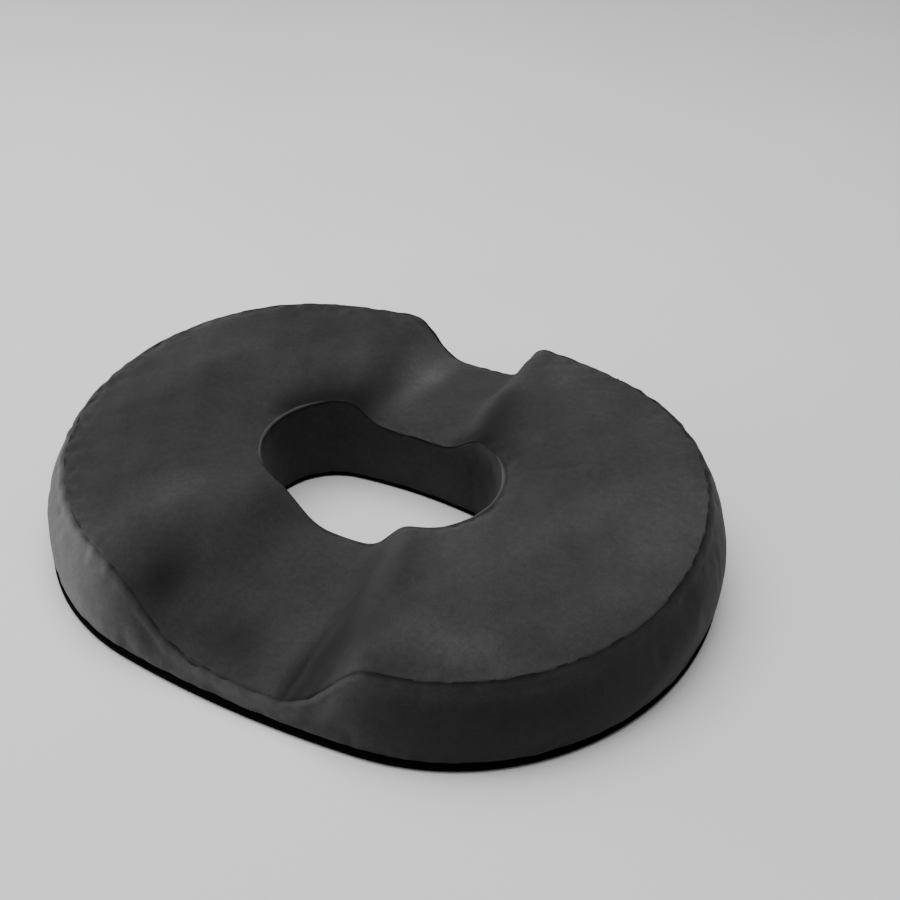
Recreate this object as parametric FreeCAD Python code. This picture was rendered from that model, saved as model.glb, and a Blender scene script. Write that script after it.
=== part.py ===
"""Orthopaedic seat cushion: a moulded foam ring in a zipped velour cover, in millimetres.

+X is the sitter's right, +Y the rear and +Z up. The origin is the middle of the footprint, on the seat.
The top slopes down to the front. A channel leads from the central hole to the rear edge, for the coccyx,
and a wider one to the front edge. The cover is made of flat panels joined by seams, with the zip low in
the middle of the rear band.
"""
import FreeCAD, Part
import math
import os

# Footprint: an oval of tangent arcs, flatter in front and behind than at the sides
WIDTH = 468.0
DEPTH = 355.0
REAR_ARC_R = 454.0
REAR_ARC_DEG = 15.0        # half the rear arc
REAR_CORNER_DEG = 66.0     # where the rear corner meets the side, from straight back
FRONT_ARC_R = 704.0
FRONT_ARC_DEG = 6.5        # half the front arc
FRONT_CORNER_DEG = 33.0    # where the front corner meets the side, from straight ahead

# Central hole: an oval of four tangent arcs
HOLE_WIDTH = 168.0
HOLE_DEPTH = 96.0
HOLE_LONG_R = 320.0

# Walls lean: inset per millimetre of height
SIDE_LEAN = 19.6 / 69.4
HOLE_LEAN = -1.0 / 62.0    # the hole opens upward a little

# Top surface
SEAM_HEIGHT = 69.2         # top seam at mid depth
WEDGE = 0.079              # rise per millimetre toward the rear
RIM_DROP = 7.6             # the top is this much lower at the hole's rim
RIM_REACH = 0.5            # how far the drop spreads, in hole sizes
CROWN = 3.0                # padding's rise between the rim and the outer seam
CROWN_AT = 1.75            # where it is highest, in hole sizes
CROWN_REACH = 0.5

# Channels: depth and half width at the hole and at the outer edge
REAR_Y = (49.0, 164.0)
REAR_DEPTH = (16.6, 40.6)
REAR_HALF_WIDTH = (38.0, 38.0)
REAR_SHARPNESS = 5.4       # a higher value gives steeper walls and crisper shoulders
FRONT_Y = (-48.0, -167.0)
FRONT_DEPTH = (24.9, 35.8)
FRONT_HALF_WIDTH = (33.0, 61.0)
FRONT_SHARPNESS = 4.8

# Cloth and seams
CLOTH = 1.5
SEAM = 2.0                 # a seam's fold, square in section
FOAM_GAP = 0.2             # between foam and cloth
DOT_HEIGHT = 0.8
DOT_R = 4.0
DOT_PITCH = 50.0
DOT_MARGIN = 14.0          # between the dots and the base panel's edges
BINDING_HEIGHT = 4.2       # folded edge round the base
BAND_SEAM_DEG = 0.25       # width of an upright seam, as an angle of the rear arc

# Zip, low in the rear band; distances out are from the band's outer face
ZIP_Z = 18.0
ZIP_GAP = 12.0             # between the strips of the band, where the chain shows
ZIP_END_DEG = 13.5         # half the chain
TAPE_OUT = (-2.4, -1.6)
TAPE_UNDER_STRIP = 4.0     # tape sewn behind the strip's edge
TOOTH_PITCH = 3.0
TOOTH_WIDTH = 1.3
TOOTH_REACH = 2.4
TOOTH_OVERLAP = 0.4        # how far the two rows' teeth reach past the middle
TOOTH_OUT = (-3.2, -0.8)
STOP_WIDTH = 2.0

# Slider and pull
SLIDER_LENGTH = 12.0
SLIDER_HEIGHT = 9.2
PLATE_CORNER_R = 2.0
SLIDER_DEG = 12.2          # the slider's travel either side of the middle
FRONT_PLATE_OUT = (-0.3, 1.2)
FLANGE_OUT = -1.3
FLANGE_THICK = 1.4
BACK_PLATE_OUT = (-5.0, -3.7)
ZIP_POCKET_OUT = -5.6      # foam pressed in behind the chain
PIN_OUT = 3.3
PIN_R = 0.8
EYE_CLEARANCE = 0.1
EYE_R = 1.7
EYE_HALF = 2.3
POST_IN = 2.6
POST_THICK = 1.0
POST_HALF_LENGTH = 1.3
PULL_LENGTH = 24.0
PULL_THICK = 1.2
PULL_WIDTH = 7.0
PULL_HOLE_R = 1.6

# Worked out from the above
BASE_Z = DOT_HEIGHT
BASE_TOP = BASE_Z + CLOTH
BAND_Z = BASE_Z + BINDING_HEIGHT
TALL = 110.0               # higher than any part of the cushion
REAR_AXIS_Y = DEPTH / 2 - REAR_ARC_R   # upright axis of the rear arc, which the slider runs about
X_AXIS = FreeCAD.Vector(1, 0, 0)
Z_AXIS = FreeCAD.Vector(0, 0, 1)


def vec(x, y, z=0.0):
    return FreeCAD.Vector(x, y, z)


def export(name, shape):
    """Write one sub-part, and say so if it isn't sound."""
    shape = shape.removeSplitter() if len(shape.Solids) == 1 else shape
    if not shape.isValid() or not shape.Solids:
        print("not sound:", name)
    print(f"{name}: {len(shape.Solids)} solid(s), {sum(s.Volume for s in shape.Solids) / 1000:.2f} cm3")
    shape.exportStep(f"parts/{name}.step")


# ---- outlines ------------------------------------------------------------------------------------

def arc_from(centre, radius, start_deg, end_deg, z):
    """Arc between two directions, measured clockwise from +Y as seen from above."""
    def at(deg):
        a = math.radians(deg)
        return vec(centre[0] + radius * math.sin(a), centre[1] + radius * math.cos(a), z)
    return Part.Arc(at(start_deg), at((start_deg + end_deg) / 2), at(end_deg)).toShape()


def corner_radii():
    """Radii of the rear corner, the side and the front corner that give the stated width and depth."""
    sin_r, cos_r = math.sin(math.radians(REAR_ARC_DEG)), math.cos(math.radians(REAR_ARC_DEG))
    sin_f, cos_f = math.sin(math.radians(FRONT_ARC_DEG)), math.cos(math.radians(FRONT_ARC_DEG))
    sin_1, cos_1 = math.sin(math.radians(REAR_CORNER_DEG)), math.cos(math.radians(REAR_CORNER_DEG))
    sin_3, cos_3 = math.sin(math.radians(FRONT_CORNER_DEG)), math.cos(math.radians(FRONT_CORNER_DEG))
    k_1 = (1 - sin_1) / (sin_1 - sin_r)
    a_1 = (WIDTH / 2 - REAR_ARC_R * sin_r) / (sin_1 - sin_r)
    k_3 = (1 - sin_3) / (sin_3 - sin_f)
    a_3 = (WIDTH / 2 - FRONT_ARC_R * sin_f) / (sin_3 - sin_f)
    depth_left = DEPTH - REAR_ARC_R * (1 - cos_r) - FRONT_ARC_R * (1 - cos_f)
    depth_left -= a_1 * (cos_r - cos_1) + a_3 * (cos_f - cos_3)
    side = depth_left / (cos_1 + cos_3 - k_1 * (cos_r - cos_1) - k_3 * (cos_f - cos_3))
    return a_1 - k_1 * side, side, a_3 - k_3 * side


def step_centre(centre, old_r, new_r, deg):
    """Centre of the arc that carries on tangentially, with a new radius, from the direction deg."""
    a = math.radians(deg)
    return centre[0] + (old_r - new_r) * math.sin(a), centre[1] + (old_r - new_r) * math.cos(a)


def outer_wire(inset, z):
    """The footprint's outline, drawn in by inset, at height z."""
    rear_corner, side, front_corner = corner_radii()
    rear = (0.0, REAR_AXIS_Y)
    corner_1 = step_centre(rear, REAR_ARC_R, rear_corner, REAR_ARC_DEG)
    middle = step_centre(corner_1, rear_corner, side, REAR_CORNER_DEG)
    corner_2 = step_centre(middle, side, front_corner, 180 - FRONT_CORNER_DEG)
    front = (0.0, -DEPTH / 2 + FRONT_ARC_R)
    right = [
        (corner_1, rear_corner, REAR_ARC_DEG, REAR_CORNER_DEG),
        (middle, side, REAR_CORNER_DEG, 180 - FRONT_CORNER_DEG),
        (corner_2, front_corner, 180 - FRONT_CORNER_DEG, 180 - FRONT_ARC_DEG),
    ]
    arcs = [(rear, REAR_ARC_R, -REAR_ARC_DEG, REAR_ARC_DEG)]
    arcs += right
    arcs.append((front, FRONT_ARC_R, 180 - FRONT_ARC_DEG, 180 + FRONT_ARC_DEG))
    arcs += [((-c[0], c[1]), r, 360 - end, 360 - start) for c, r, start, end in reversed(right)]
    return Part.Wire([arc_from(c, r - inset, start, end, z) for c, r, start, end in arcs])


def hole_wire(outset, z):
    """The hole's outline, made wider by outset, at height z."""
    a, b = HOLE_WIDTH / 2, HOLE_DEPTH / 2
    end_r = (HOLE_LONG_R**2 - a**2 - (HOLE_LONG_R - b) ** 2) / (2 * (HOLE_LONG_R - a))
    deg = math.degrees(math.asin((a - end_r) / (HOLE_LONG_R - end_r)))
    arcs = [
        ((0.0, b - HOLE_LONG_R), HOLE_LONG_R, -deg, deg),
        ((a - end_r, 0.0), end_r, deg, 180 - deg),
        ((0.0, HOLE_LONG_R - b), HOLE_LONG_R, 180 - deg, 180 + deg),
        ((end_r - a, 0.0), end_r, 180 + deg, 360 - deg),
    ]
    return Part.Wire([arc_from(c, r + outset, start, end, z) for c, r, start, end in arcs])


def outer_block(inset, low=0.0, high=TALL):
    """Everything inside the leaning side wall, drawn in by inset."""
    return Part.makeLoft([outer_wire(inset + SIDE_LEAN * z, z) for z in (low, high)], True, True)


def hole_block(outset, low=0.0, high=TALL):
    """Everything inside the hole's wall, made wider by outset."""
    return Part.makeLoft([hole_wire(outset - HOLE_LEAN * z, z) for z in (low, high)], True, True)


# ---- top surface ---------------------------------------------------------------------------------

def blend(ends, t):
    return ends[0] + (ends[1] - ends[0]) * t


def channel_drop(x, y, span, depth, half_width, sharpness):
    """How far a channel lowers the top. It starts at the middle of the hole and deepens outward."""
    inside = min(max(y / span[0], 0.0), 1.0)
    outside = min(max((y - span[0]) / (span[1] - span[0]), 0.0), 1.2)
    rise = inside * inside * (3 - 2 * inside)
    wide = abs(x) / blend(half_width, outside)
    return blend(depth, outside) * rise * 0.5 ** wide**sharpness


def top_height(x, y):
    """Height of the cover's top surface."""
    ratio = (abs(2 * x / HOLE_WIDTH) ** 3 + abs(2 * y / HOLE_DEPTH) ** 3) ** (1 / 3)
    rim = RIM_DROP / (1 + (max(ratio - 1, 0.0) / RIM_REACH) ** 2)
    crown = CROWN * math.exp(-(((ratio - CROWN_AT) / CROWN_REACH) ** 2))
    rear = channel_drop(x, y, REAR_Y, REAR_DEPTH, REAR_HALF_WIDTH, REAR_SHARPNESS)
    front = channel_drop(x, y, FRONT_Y, FRONT_DEPTH, FRONT_HALF_WIDTH, FRONT_SHARPNESS)
    return SEAM_HEIGHT + WEDGE * y - rim + crown - rear - front


def top_face():
    """The top as one smooth face, larger than the footprint."""
    across, along = 49, 33
    half_x, half_y = WIDTH / 2 + 10, DEPTH / 2 + 10
    grid = []
    for i in range(across):
        x = -half_x + 2 * half_x * i / (across - 1)
        ys = [-half_y + 2 * half_y * j / (along - 1) for j in range(along)]
        grid.append([vec(x, y, top_height(x, y)) for y in ys])
    surface = Part.BSplineSurface()
    surface.interpolate(grid)
    return surface.toShape()


def below_top(face, drop):
    """Everything lower than the top surface by at least drop."""
    return face.translated(vec(0, 0, -drop)).extrude(vec(0, 0, -2 * TALL))


def top_skin(face, thick):
    """The layer just under the top surface."""
    return face.extrude(vec(0, 0, -thick))


# ---- things built round the rear arc's axis ------------------------------------------------------

def band_radius(z):
    """Radius of the rear band's outer face."""
    return REAR_ARC_R - SIDE_LEAN * z


def rear_turn(shape, deg):
    """Turn a shape about the rear arc's axis; deg is clockwise as seen from above."""
    turned = shape.copy()
    turned.rotate(vec(0, REAR_AXIS_Y), Z_AXIS, -deg)
    return turned


def set_on_band(shape, deg):
    """Lean a shape made at the middle of the chain back with the band, then turn it to its place."""
    leaned = shape.copy()
    middle = vec(0, REAR_AXIS_Y + band_radius(ZIP_Z), ZIP_Z)
    leaned.rotate(middle, X_AXIS, math.degrees(math.atan(SIDE_LEAN)))
    return rear_turn(leaned, deg)


def rear_sector(start_deg, end_deg, low, high, inner=-30.0):
    """Solid sector that leans with the rear band, from a distance out of its outer face to well past it."""
    outer = 10.0
    corners = [
        vec(0, REAR_AXIS_Y + band_radius(low) + inner, low),
        vec(0, REAR_AXIS_Y + band_radius(low) + outer, low),
        vec(0, REAR_AXIS_Y + band_radius(high) + outer, high),
        vec(0, REAR_AXIS_Y + band_radius(high) + inner, high),
    ]
    face = rear_turn(Part.Face(Part.makePolygon(corners + corners[:1])), start_deg)
    return face.revolve(vec(0, REAR_AXIS_Y), Z_AXIS, start_deg - end_deg)


def tangent_box(length, low, high, out):
    """Upright block at the middle of the chain."""
    y = REAR_AXIS_Y + band_radius(ZIP_Z)
    return Part.makeBox(length, out[1] - out[0], high - low, vec(-length / 2, y + out[0], low))


# ---- foam and cover ------------------------------------------------------------------------------

def make_foam(face):
    gap = CLOTH + FOAM_GAP
    foam = outer_block(gap, BASE_TOP + FOAM_GAP).cut(hole_block(gap))
    foam = foam.common(below_top(face, SEAM + FOAM_GAP))
    reach = ZIP_GAP / 2 + TAPE_UNDER_STRIP + 1.0
    ends = REAR_ARC_DEG - 0.5
    return foam.cut(rear_sector(-ends, ends, ZIP_Z - reach, ZIP_Z + reach, ZIP_POCKET_OUT))


def make_top_panel(face):
    return outer_block(SEAM).cut(hole_block(SEAM)).common(top_skin(face, CLOTH))


def make_top_edge_seam(face):
    return outer_block(0).cut(outer_block(SEAM)).common(top_skin(face, SEAM))


def make_hole_rim_seam(face):
    return hole_block(SEAM).cut(hole_block(0)).common(top_skin(face, SEAM))


def make_hole_band(face):
    """The wall of the hole, and the upright seam that joins its ends at the front."""
    wall = hole_block(CLOTH, BAND_Z).cut(hole_block(0)).common(below_top(face, SEAM))
    strip = Part.makeBox(SEAM, HOLE_DEPTH, TALL, vec(-SEAM / 2, -HOLE_DEPTH, 0))
    return wall.cut(strip), wall.common(strip)


def make_bands(face):
    """The outer wall: one long band round the front and sides, and two strips at the rear."""
    wall = outer_block(0, BAND_Z).cut(outer_block(CLOTH)).common(below_top(face, SEAM))
    seam_ends = (REAR_ARC_DEG - BAND_SEAM_DEG / 2, REAR_ARC_DEG + BAND_SEAM_DEG / 2)
    long_band = wall.cut(rear_sector(-seam_ends[1], seam_ends[1], 0, TALL))
    left_seam = wall.common(rear_sector(-seam_ends[1], -seam_ends[0], 0, TALL))
    right_seam = wall.common(rear_sector(seam_ends[0], seam_ends[1], 0, TALL))
    lower = wall.common(rear_sector(-seam_ends[0], seam_ends[0], 0, ZIP_Z - ZIP_GAP / 2))
    upper = wall.common(rear_sector(-seam_ends[0], seam_ends[0], ZIP_Z + ZIP_GAP / 2, TALL))
    return long_band, left_seam, right_seam, lower, upper


def make_base():
    """The base panel with its two bound edges."""
    panel = outer_block(CLOTH, BASE_Z, BASE_TOP).cut(hole_block(CLOTH))
    edge = outer_block(0, BASE_Z, BAND_Z).cut(outer_block(CLOTH))
    hole_edge = hole_block(CLOTH, BASE_Z, BAND_Z).cut(hole_block(0))
    return panel, edge, hole_edge


def make_dots():
    """Rubber dots in staggered rows all over the base panel."""
    field = Part.Face([outer_wire(DOT_MARGIN, 0), hole_wire(DOT_MARGIN, 0).reversed()])
    row_step = DOT_PITCH * math.sqrt(3) / 2
    dots = []
    for row in range(-4, 5):
        shift = DOT_PITCH / 2 if row % 2 else 0.0
        for column in range(-5, 6):
            at = vec(column * DOT_PITCH + shift, row * row_step)
            if field.isInside(at, 0.01, True):
                dots.append(Part.makeCylinder(DOT_R, DOT_HEIGHT, at))
    return Part.makeCompound(dots)


# ---- zip -----------------------------------------------------------------------------------------

def make_tape(side):
    """One tape, from the teeth's roots to behind the strip. side is 1 above and -1 below."""
    near = ZIP_Z + side * (TOOTH_REACH - TOOTH_OVERLAP)
    far = ZIP_Z + side * (ZIP_GAP / 2 + TAPE_UNDER_STRIP)
    inner, outer = (REAR_AXIS_Y + band_radius(ZIP_Z) + out for out in TAPE_OUT)
    corners = [vec(0, inner, near), vec(0, outer, near), vec(0, outer, far), vec(0, inner, far)]
    ends = REAR_ARC_DEG - 0.5
    section = set_on_band(Part.Face(Part.makePolygon(corners + corners[:1])), -ends)
    return section.revolve(vec(0, REAR_AXIS_Y), Z_AXIS, -2 * ends)


def make_teeth(side):
    """One row of teeth. The upper row sits half a pitch along, so that the rows mesh."""
    step = math.degrees(TOOTH_PITCH / band_radius(ZIP_Z))
    count = int(2 * ZIP_END_DEG / step) - 1
    root, tip = TOOTH_REACH - TOOTH_OVERLAP, -TOOTH_OVERLAP
    low, high = sorted((ZIP_Z + side * root, ZIP_Z + side * tip))
    tooth = tangent_box(TOOTH_WIDTH, low, high, TOOTH_OUT)
    first = -step * (count - 1) / 2 + side * step / 4
    return Part.makeCompound([set_on_band(tooth, first + step * i) for i in range(count)])


def make_stop(deg):
    """Metal block across both rows, at an end of the chain."""
    half = TOOTH_REACH - TOOTH_OVERLAP
    return set_on_band(tangent_box(STOP_WIDTH, ZIP_Z - half, ZIP_Z + half, TOOTH_OUT), deg)


def make_slider():
    """Front plate with its flanges and bail, and the back plate behind the chain, at the middle."""
    low, high = ZIP_Z - SLIDER_HEIGHT / 2, ZIP_Z + SLIDER_HEIGHT / 2
    front = tangent_box(SLIDER_LENGTH, low, high, FRONT_PLATE_OUT)
    flange_out = (FLANGE_OUT, FRONT_PLATE_OUT[1])
    front = front.fuse(tangent_box(SLIDER_LENGTH, low, low + FLANGE_THICK, flange_out))
    front = front.fuse(tangent_box(SLIDER_LENGTH, high - FLANGE_THICK, high, flange_out))
    front = front.removeSplitter()
    front = front.makeFillet(PLATE_CORNER_R, [e for e in front.Edges if is_plate_corner(e)])
    post_out = (FRONT_PLATE_OUT[1] - 0.2, PIN_OUT)
    pin_y = REAR_AXIS_Y + band_radius(ZIP_Z) + PIN_OUT
    for side in (-1, 1):
        post_low, post_high = sorted((ZIP_Z + side * POST_IN, ZIP_Z + side * (POST_IN + POST_THICK)))
        front = front.fuse(tangent_box(2 * POST_HALF_LENGTH, post_low, post_high, post_out))
        front = front.fuse(Part.makeCylinder(POST_HALF_LENGTH, POST_THICK, vec(0, pin_y, post_low)))
    pin_low = ZIP_Z - POST_IN - POST_THICK / 2
    front = front.fuse(Part.makeCylinder(PIN_R, 2 * POST_IN + POST_THICK, vec(0, pin_y, pin_low)))
    back = tangent_box(SLIDER_LENGTH, low, high, BACK_PLATE_OUT)
    back = back.makeFillet(PLATE_CORNER_R, [e for e in back.Edges if is_plate_corner(e)])
    return front, back


def is_plate_corner(edge):
    """True for a plate's four corner edges, which run straight out from the band."""
    start, end = edge.Vertexes[0].Point, edge.Vertexes[-1].Point
    along_y = abs(start.x - end.x) < 0.01 and abs(start.z - end.z) < 0.01
    outside = abs(abs(start.z - ZIP_Z) - SLIDER_HEIGHT / 2) < 0.01
    return along_y and outside and abs(abs(start.x) - SLIDER_LENGTH / 2) < 0.01


def make_pull():
    """Pull tab that lies along the chain, with an eye on the bail's pin and a hole at its end."""
    pin_y = REAR_AXIS_Y + band_radius(ZIP_Z) + PIN_OUT
    eye = Part.makeCylinder(EYE_R, 2 * EYE_HALF, vec(0, pin_y, ZIP_Z - EYE_HALF))
    half = PULL_WIDTH / 2
    end = PULL_LENGTH - half
    points = [
        vec(0, 0, -EYE_HALF),
        vec(POST_HALF_LENGTH + 0.8, 0, -EYE_HALF),
        vec(POST_HALF_LENGTH + 3.5, 0, -half),
        vec(end, 0, -half),
    ]
    upper = [vec(p.x, 0, -p.z) for p in reversed(points)]
    edges = Part.makePolygon(points).Edges + [Part.Arc(points[-1], vec(PULL_LENGTH, 0, 0), upper[0]).toShape()]
    edges += Part.makePolygon(upper + points[:1]).Edges
    blade = Part.Face(Part.Wire(edges)).extrude(vec(0, PULL_THICK, 0))
    blade.translate(vec(0, pin_y - PULL_THICK / 2, ZIP_Z))
    pull = eye.fuse(blade)
    pull = pull.cut(Part.makeCylinder(PIN_R + EYE_CLEARANCE, PULL_WIDTH, vec(0, pin_y, ZIP_Z - half)))
    hole_at = vec(end, pin_y - PULL_THICK, ZIP_Z)
    return pull.cut(Part.makeCylinder(PULL_HOLE_R, 2 * PULL_THICK, hole_at, vec(0, 1, 0)))


def main():
    os.makedirs("parts", exist_ok=True)
    face = top_face()

    export("foam_core", make_foam(face))
    export("cover_top_panel", make_top_panel(face))
    export("top_edge_seam", make_top_edge_seam(face))
    export("hole_rim_seam", make_hole_rim_seam(face))

    hole_band, hole_seam = make_hole_band(face)
    export("cover_hole_band", hole_band)
    export("hole_band_seam", hole_seam)

    long_band, left_seam, right_seam, lower, upper = make_bands(face)
    export("cover_side_band", long_band)
    export("band_seam_left", left_seam)
    export("band_seam_right", right_seam)
    export("cover_rear_strip_lower", lower)
    export("cover_rear_strip_upper", upper)

    panel, edge, hole_edge = make_base()
    export("cover_base_panel", panel)
    export("base_edge_binding", edge)
    export("hole_base_binding", hole_edge)
    export("base_grip_dots", make_dots())

    for side, name in ((1, "upper"), (-1, "lower")):
        export(f"zip_tape_{name}", make_tape(side))
        export(f"zip_teeth_{name}", make_teeth(side))
    stop_deg = ZIP_END_DEG + 0.3
    export("zip_top_stop", make_stop(-stop_deg))
    export("zip_bottom_stop", make_stop(stop_deg))

    front_plate, back_plate = make_slider()
    export("zip_slider_body", set_on_band(front_plate, -SLIDER_DEG))
    export("zip_slider_back_plate", set_on_band(back_plate, -SLIDER_DEG))
    export("zip_pull_tab", set_on_band(make_pull(), -SLIDER_DEG))


main()
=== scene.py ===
"""Looks of the orthopaedic seat cushion: velour cover, seams, zip and base, built round the CAD frame.

Shapes are worked out in millimetres in the CAD frame and turned into metres when a mesh is made. Around the
cushion, a place is its distance s along the footprint's edge, clockwise from the middle of the rear.
"""

import math

import bpy
import numpy as np
from mathutils import Matrix, Vector


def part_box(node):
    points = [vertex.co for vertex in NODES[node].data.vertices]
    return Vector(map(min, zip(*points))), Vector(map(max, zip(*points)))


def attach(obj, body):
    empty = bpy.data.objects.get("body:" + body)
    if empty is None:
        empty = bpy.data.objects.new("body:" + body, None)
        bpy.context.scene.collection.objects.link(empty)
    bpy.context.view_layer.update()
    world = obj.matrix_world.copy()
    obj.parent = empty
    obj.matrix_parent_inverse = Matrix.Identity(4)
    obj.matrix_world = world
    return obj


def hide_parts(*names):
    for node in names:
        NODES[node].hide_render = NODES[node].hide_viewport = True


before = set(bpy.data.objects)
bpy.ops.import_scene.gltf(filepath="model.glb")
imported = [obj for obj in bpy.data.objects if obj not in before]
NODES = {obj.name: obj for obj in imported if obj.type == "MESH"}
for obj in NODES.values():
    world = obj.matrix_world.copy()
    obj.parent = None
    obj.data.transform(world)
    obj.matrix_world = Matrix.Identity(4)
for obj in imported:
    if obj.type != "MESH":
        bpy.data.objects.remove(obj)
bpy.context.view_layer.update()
MM = 0.001


def size_mm(node):
    """Lowest and highest corner of a CAD node, in millimetres."""
    low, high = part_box(node)
    return np.array(low) / MM, np.array(high) / MM


# ---- sizes ---------------------------------------------------------------------------------------

CLOTH = 1.5                # thickness of the cloth in CAD
SHEET = 1.1                # and of the sheets made here
TAB_SHEET = 0.6
BINDING_SHEET = 0.5
FOOT_LOW, FOOT_HIGH = size_mm("base_edge_binding")
HOLE_LOW, HOLE_HIGH = size_mm("hole_base_binding")
WIDTH, DEPTH = (FOOT_HIGH - FOOT_LOW)[:2]
HOLE_WIDTH, HOLE_DEPTH = (HOLE_HIGH - HOLE_LOW)[:2] - 2 * CLOTH
BASE_Z = FOOT_LOW[2]
ZIP_LOW = size_mm("cover_rear_strip_lower")[1][2]
ZIP_HIGH = size_mm("cover_rear_strip_upper")[0][2]

# Footprint: an oval of tangent arcs, as (radius, half angle) or angles from the axes
REAR_ARC = (454.0, 15.0)
FRONT_ARC = (704.0, 6.5)
REAR_CORNER_DEG = 66.0
FRONT_CORNER_DEG = 33.0
HOLE_LONG_R = 320.0

# Walls
SIDE_LEAN = 19.6 / 69.4
SIDE_BULGE = 5.8
BULGE_SKEW = 1.3           # above 1, the band is fullest above its middle
BULGE_HEIGHT = 60.0        # a band lower than this, as at the channels, swells less
SIDE_TUCK = 7.5            # the band turns in a little at the base, to the left and right
HOLE_LEAN = -1.0 / 62.0
HOLE_SWELL = 1.2           # the hole's wall swells into the hole
HOLE_GROOVE = 0.8          # and draws back under the rim
HOLE_GROOVE_REACH = 1.5
BASE_INSET = 0.6           # between the base panel's edges and the walls

# Top surface
SEAM_HEIGHT = 69.2
WEDGE = 0.079
RIM_DROP = 5.6
RIM_REACH = 0.5
CROWN = 3.0
CROWN_AT = 1.75
CROWN_REACH = 0.5

# Channels: distance from the middle, depth and half width, each at the hole and at the edge
REAR_CHANNEL = {"y": (49.0, 164.0), "depth": (16.6, 40.6), "half": (38.0, 38.0),
                "left_wider": 1.0, "sharp": (5.4, 5.4)}
FRONT_CHANNEL = {"y": (-48.0, -167.0), "depth": (24.9, 35.8), "half": (33.0, 61.0),
                 "left_wider": 1.12, "sharp": (3.6, 4.8)}

# Seams
BAND_LOW = 6.5             # the band's lower edge, tucked behind the black binding
HOLE_WALL_LOW = 2.2
RIM_ROLL = 2.4             # the top rolls over the hole's rim
RIM_ROLL_REACH = 6.0
EDGE_ROLL = 3.6            # the top rolls over its seam at the right of the front
EDGE_ROLL_REACH = 9.0
EDGE_ROLL_TURNS = (104.0, 173.0)    # the edge's directions between which it rolls
GROOVE = 1.9               # depth of the crease at the top seam
GROOVE_REACH = 1.1
RIDGE = 0.7                # seam allowance lifting the band just below the crease
RIDGE_AT = 3.2
RIDGE_REACH = 2.4
FOLD = 2.2                 # crease at the foot of the front channel's right wall
FOLD_AT = (33.0, -148.0)
FOLD_REACH = (5.0, 28.0)
PUCKER = 0.35
PUCKER_REACH = 7.0
STITCH_PITCH = 3.4
STITCH_LENGTH = 2.3
THREAD_R = 0.32
TOP_BEAD_R = 0.75
TOP_BEAD_IN = 1.2          # the bead's middle, inward of the seam and below it
TOP_BEAD_DOWN = 1.9
CALM_PAST_ZIP = 12.0       # the cloth lies flat this far past the rear band's ends
CALM_HEIGHT = 38.0         # and up to this height


# ---- outlines ------------------------------------------------------------------------------------

def oval_arcs():
    """The footprint's arcs as (centre x, centre y, radius, start, end), clockwise from straight back."""
    (rear_r, rear_half), (front_r, front_half) = REAR_ARC, FRONT_ARC
    sin_r, cos_r = math.sin(math.radians(rear_half)), math.cos(math.radians(rear_half))
    sin_f, cos_f = math.sin(math.radians(front_half)), math.cos(math.radians(front_half))
    sin_1, cos_1 = math.sin(math.radians(REAR_CORNER_DEG)), math.cos(math.radians(REAR_CORNER_DEG))
    sin_3, cos_3 = math.sin(math.radians(FRONT_CORNER_DEG)), math.cos(math.radians(FRONT_CORNER_DEG))
    k_1 = (1 - sin_1) / (sin_1 - sin_r)
    a_1 = (WIDTH / 2 - rear_r * sin_r) / (sin_1 - sin_r)
    k_3 = (1 - sin_3) / (sin_3 - sin_f)
    a_3 = (WIDTH / 2 - front_r * sin_f) / (sin_3 - sin_f)
    depth_left = DEPTH - rear_r * (1 - cos_r) - front_r * (1 - cos_f)
    depth_left -= a_1 * (cos_r - cos_1) + a_3 * (cos_f - cos_3)
    side_r = depth_left / (cos_1 + cos_3 - k_1 * (cos_r - cos_1) - k_3 * (cos_f - cos_3))
    radii = [rear_r, a_1 - k_1 * side_r, side_r, a_3 - k_3 * side_r, front_r]
    turns = [0.0, rear_half, REAR_CORNER_DEG, 180 - FRONT_CORNER_DEG, 180 - front_half, 180.0]
    x, y = 0.0, DEPTH / 2 - rear_r
    right = []
    for i, radius in enumerate(radii):
        if i:
            turn = math.radians(turns[i])
            x += (radii[i - 1] - radius) * math.sin(turn)
            y += (radii[i - 1] - radius) * math.cos(turn)
        right.append((x, y, radius, turns[i], turns[i + 1]))
    return right + [(-x, y, r, 360 - end, 360 - start) for x, y, r, start, end in reversed(right)]


def hole_arcs():
    """The hole's arcs, in the same form."""
    a, b = HOLE_WIDTH / 2, HOLE_DEPTH / 2
    end_r = (HOLE_LONG_R**2 - a**2 - (HOLE_LONG_R - b) ** 2) / (2 * (HOLE_LONG_R - a))
    turn = math.degrees(math.asin((a - end_r) / (HOLE_LONG_R - end_r)))
    return [
        (0.0, b - HOLE_LONG_R, HOLE_LONG_R, 0.0, turn),
        (a - end_r, 0.0, end_r, turn, 180 - turn),
        (0.0, HOLE_LONG_R - b, HOLE_LONG_R, 180 - turn, 180 + turn),
        (end_r - a, 0.0, end_r, 180 + turn, 360 - turn),
        (0.0, b - HOLE_LONG_R, HOLE_LONG_R, 360 - turn, 360.0),
    ]


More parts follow.
